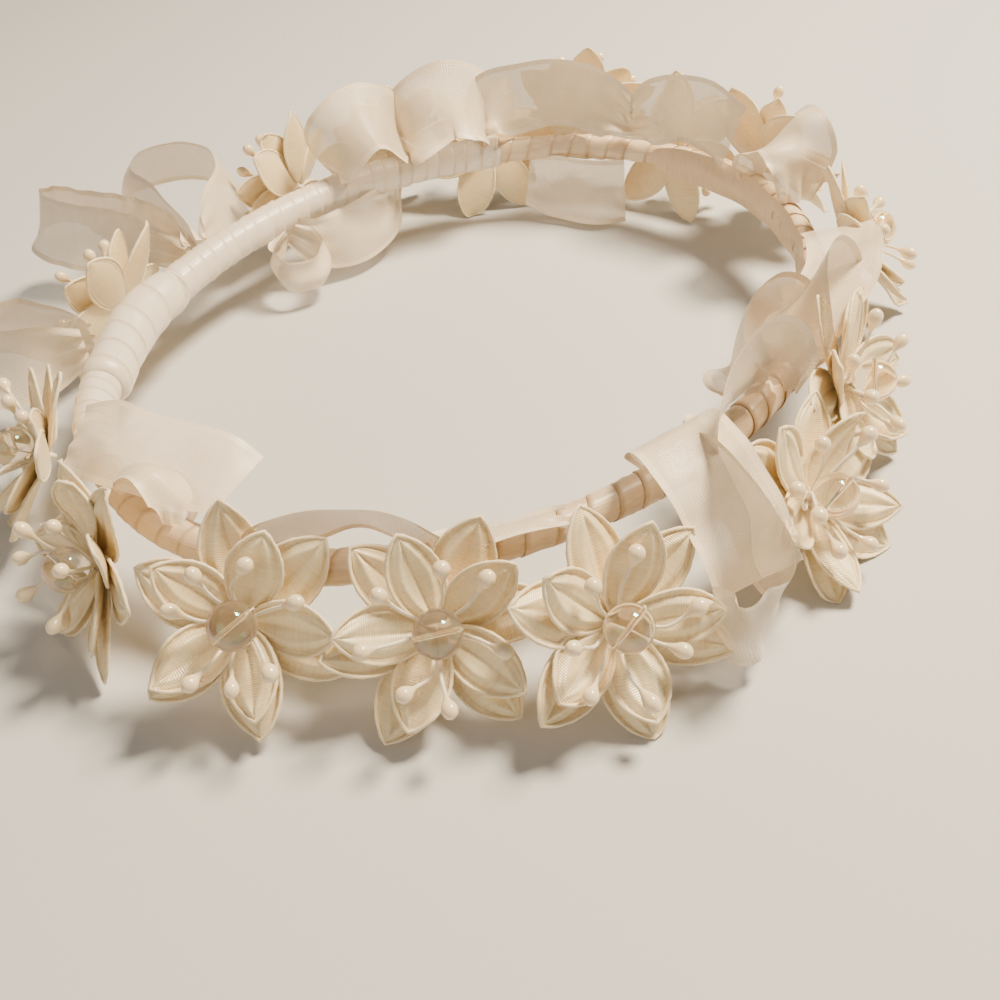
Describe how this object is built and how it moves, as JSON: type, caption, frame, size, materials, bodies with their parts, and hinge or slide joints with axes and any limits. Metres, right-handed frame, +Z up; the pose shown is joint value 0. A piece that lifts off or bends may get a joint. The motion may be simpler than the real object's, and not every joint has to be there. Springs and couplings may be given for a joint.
{
  "type": "flower crown",
  "caption": "Oval wire head ring bound in satin ribbon, set all round with two-layer satin flowers with bead and pearl centres and sheer organza loops.",
  "frame": {"origin": "middle of the crown's footprint, on the surface that it lies on, touched by its lowest petal tips", "axes": "+Z up through the head opening; the crown's front row of flowers faces -Y, and the bow gap is at the back left, towards -X and +Y"},
  "size_m": [0.2526, 0.2496, 0.0499],
  "materials": {
    "petal_satin": "ivory satin, embossed and cord-edged",
    "wrap_satin": "ivory satin ribbon, wound in overlapping turns",
    "organza": "sheer ivory organza ribbon with woven edges",
    "stamen_thread": "pearl-coated heads on waxed white thread",
    "bead_glass": "clear with an iridescent coating",
    "ring_wire": "drawn steel wire"
  },
  "bodies": {
    "crown": {"band_wrap_thick": "wrap_satin", "band_wrap_thin": "wrap_satin", "flower_01_petals": "petal_satin", "flower_01_stamens": "stamen_thread", "flower_02_petals": "petal_satin", "flower_02_stamens": "stamen_thread", "flower_03_petals": "petal_satin", "flower_03_stamens": "stamen_thread", "flower_04_petals": "petal_satin", "flower_04_stamens": "stamen_thread", "flower_05_petals": "petal_satin", "flower_05_stamens": "stamen_thread", "flower_06_petals": "petal_satin", "flower_06_stamens": "stamen_thread", "flower_07_petals": "petal_satin", "flower_07_stamens": "stamen_thread", "flower_08_petals": "petal_satin", "flower_08_stamens": "stamen_thread", "flower_09_petals": "petal_satin", "flower_09_stamens": "stamen_thread", "flower_10_petals": "petal_satin", "flower_10_stamens": "stamen_thread", "flower_11_petals": "petal_satin", "flower_11_stamens": "stamen_thread", "flower_12_petals": "petal_satin", "flower_12_stamens": "stamen_thread", "flower_13_petals": "petal_satin", "flower_13_stamens": "stamen_thread", "flower_14_petals": "petal_satin", "flower_14_stamens": "stamen_thread", "flower_15_petals": "petal_satin", "flower_15_stamens": "stamen_thread", "joint_wrap": "wrap_satin", "organza_bow_loop_large": "organza", "organza_bow_loop_small": "organza", "organza_loop_front": "organza", "organza_loop_front_right": "organza", "organza_loop_left": "organza", "organza_loop_right": "organza", "organza_puff_back": "organza", "organza_sash_back": "organza", "organza_tail_back": "organza", "organza_tail_left": "organza", "organza_tail_right": "organza", "ring_wire": "ring_wire"},
    "bead_01": {"flower_01_bead": "bead_glass"},
    "bead_02": {"flower_02_bead": "bead_glass"},
    "bead_03": {"flower_03_bead": "bead_glass"},
    "bead_04": {"flower_04_bead": "bead_glass"},
    "bead_05": {"flower_05_bead": "bead_glass"},
    "bead_06": {"flower_06_bead": "bead_glass"},
    "bead_07": {"flower_07_bead": "bead_glass"},
    "bead_08": {"flower_08_bead": "bead_glass"},
    "bead_09": {"flower_09_bead": "bead_glass"},
    "bead_10": {"flower_10_bead": "bead_glass"},
    "bead_11": {"flower_11_bead": "bead_glass"},
    "bead_12": {"flower_12_bead": "bead_glass"},
    "bead_13": {"flower_13_bead": "bead_glass"},
    "bead_14": {"flower_14_bead": "bead_glass"},
    "bead_15": {"flower_15_bead": "bead_glass"}
  },
  "joints": [
    {"name": "bead_01_spin", "type": "hinge", "parent": "crown", "child": "bead_01", "pos_m": [-0.08579, -0.07629, 0.02131], "axis": [0.5786, -0.7995, 0.161], "continuous": true},
    {"name": "bead_02_spin", "type": "hinge", "parent": "crown", "child": "bead_02", "pos_m": [-0.04796, -0.10063, 0.02337], "axis": [0.8385, 0.2871, 0.4632], "continuous": true},
    {"name": "bead_03_spin", "type": "hinge", "parent": "crown", "child": "bead_03", "pos_m": [-0.00847, -0.10681, 0.02067], "axis": [0.9949, 0.0846, 0.055], "continuous": true},
    {"name": "bead_04_spin", "type": "hinge", "parent": "crown", "child": "bead_04", "pos_m": [0.02762, -0.1113, 0.02081], "axis": [0.7125, 0.59, 0.3798], "continuous": true},
    {"name": "bead_05_spin", "type": "hinge", "parent": "crown", "child": "bead_05", "pos_m": [0.07647, -0.07955, 0.01864], "axis": [0.7005, 0.7136, 0], "continuous": true},
    {"name": "bead_06_spin", "type": "hinge", "parent": "crown", "child": "bead_06", "pos_m": [0.09402, -0.04868, 0.02409], "axis": [0.2181, 0.7795, 0.5872], "continuous": true},
    {"name": "bead_07_spin", "type": "hinge", "parent": "crown", "child": "bead_07", "pos_m": [0.11644, 0.01745, 0.02443], "axis": [-0.1316, 0.946, 0.2962], "continuous": true},
    {"name": "bead_08_spin", "type": "hinge", "parent": "crown", "child": "bead_08", "pos_m": [0.10545, 0.06906, 0.02748], "axis": [-0.4687, 0.8834, 0], "continuous": true},
    {"name": "bead_09_spin", "type": "hinge", "parent": "crown", "child": "bead_09", "pos_m": [0.05186, 0.11467, 0.03052], "axis": [-0.8538, 0.0464, 0.5185], "continuous": true},
    {"name": "bead_10_spin", "type": "hinge", "parent": "crown", "child": "bead_10", "pos_m": [-0.01694, 0.11408, 0.02663], "axis": [-0.9496, -0.3135, 0], "continuous": true},
    {"name": "bead_11_spin", "type": "hinge", "parent": "crown", "child": "bead_11", "pos_m": [-0.05181, 0.09507, 0.02434], "axis": [-0.2375, -0.6942, 0.6795], "continuous": true},
    {"name": "bead_12_spin", "type": "hinge", "parent": "crown", "child": "bead_12", "pos_m": [-0.10048, 0.04026, 0.02145], "axis": [-0.3751, -0.9222, 0.0939], "continuous": true},
    {"name": "bead_13_spin", "type": "hinge", "parent": "crown", "child": "bead_13", "pos_m": [-0.10821, -0.03005, 0.02145], "axis": [0.4094, -0.8078, 0.424], "continuous": true},
    {"name": "bead_14_spin", "type": "hinge", "parent": "crown", "child": "bead_14", "pos_m": [0.08021, 0.0937, 0.0176], "axis": [-0.6999, 0.6893, 0.1869], "continuous": true},
    {"name": "bead_15_spin", "type": "hinge", "parent": "crown", "child": "bead_15", "pos_m": [0.01629, 0.11496, 0.01655], "axis": [-0.617, 0.3495, 0.7052], "continuous": true}
  ]
}
